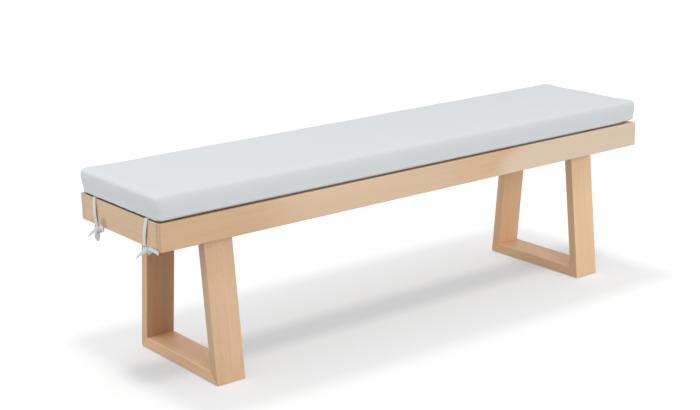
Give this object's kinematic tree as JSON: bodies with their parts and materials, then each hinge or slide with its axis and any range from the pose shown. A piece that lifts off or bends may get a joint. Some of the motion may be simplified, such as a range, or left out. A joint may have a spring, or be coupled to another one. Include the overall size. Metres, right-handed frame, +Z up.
{
  "type": "patio bench",
  "caption": "Backless wooden patio bench on two trapezoid leg frames, with a slatted seat frame and a full-length boxed cushion tied on at both ends.",
  "frame": {"origin": "on the floor, below the middle of the bench", "axes": "X along the bench, -Y towards the front, Z up"},
  "size_m": [1.508, 0.35, 0.4673],
  "materials": {
    "pale_hardwood": "oiled pale tan hardwood with a fine straight grain",
    "cushion_fabric": "light cool grey woven outdoor fabric",
    "tie_tape": "off-white sewn fabric tape",
    "foam": "open-cell seat foam",
    "stainless_steel": "stainless steel",
    "brass": "plain brass",
    "glide_nylon": "dark nylon",
    "zip_cloth": "grey woven zip tape",
    "zip_plastic": "grey moulded plastic",
    "zip_metal": "grey painted die-cast metal"
  },
  "bodies": {
    "bench": {"back_left_corner_block": "pale_hardwood", "back_rail": "pale_hardwood", "back_right_corner_block": "pale_hardwood", "bearer_dowels": "pale_hardwood", "bolt_washers": "stainless_steel", "centre_bearer": "pale_hardwood", "corner_block_screws": "stainless_steel", "corner_dowels": "pale_hardwood", "cushion_cover": "cushion_fabric", "foam_core": "foam", "front_left_corner_block": "pale_hardwood", "front_rail": "pale_hardwood", "front_right_corner_block": "pale_hardwood", "left_back_glide": "glide_nylon", "left_back_leg": "pale_hardwood", "left_back_tie": "tie_tape", "left_end_bearer": "pale_hardwood", "left_end_rail": "pale_hardwood", "left_foot_rail": "pale_hardwood", "left_front_glide": "glide_nylon", "left_front_leg": "pale_hardwood", "left_front_tie": "tie_tape", "left_leg_bearer": "pale_hardwood", "left_top_rail": "pale_hardwood", "leg_bolts": "stainless_steel", "mitre_dowels": "pale_hardwood", "right_back_glide": "glide_nylon", "right_back_leg": "pale_hardwood", "right_back_tie": "tie_tape", "right_end_bearer": "pale_hardwood", "right_end_rail": "pale_hardwood", "right_foot_rail": "pale_hardwood", "right_front_glide": "glide_nylon", "right_front_leg": "pale_hardwood", "right_front_tie": "tie_tape", "right_leg_bearer": "pale_hardwood", "right_top_rail": "pale_hardwood", "slat_1": "pale_hardwood", "slat_2": "pale_hardwood", "slat_3": "pale_hardwood", "slat_4": "pale_hardwood", "slat_5": "pale_hardwood", "slat_screws": "stainless_steel", "threaded_inserts": "brass", "top_rail_dowels": "pale_hardwood", "zip_chain": "zip_plastic", "zip_stops": "zip_plastic", "zip_tape": "zip_cloth"},
    "zip_slider": {"zip_slider": "zip_metal"},
    "zip_pull": {"zip_pull": "zip_metal"}
  },
  "joints": [
    {"name": "zip_travel", "type": "slide", "parent": "bench", "child": "zip_slider", "axis": [-1, 0, 0], "range_m": [0, 0.984]},
    {"name": "pull_flip", "type": "hinge", "parent": "zip_slider", "child": "zip_pull", "pos_m": [0.4922, 0.1732, 0.4433], "axis": [0, 0, -1], "range_deg": [0, 180]}
  ]
}
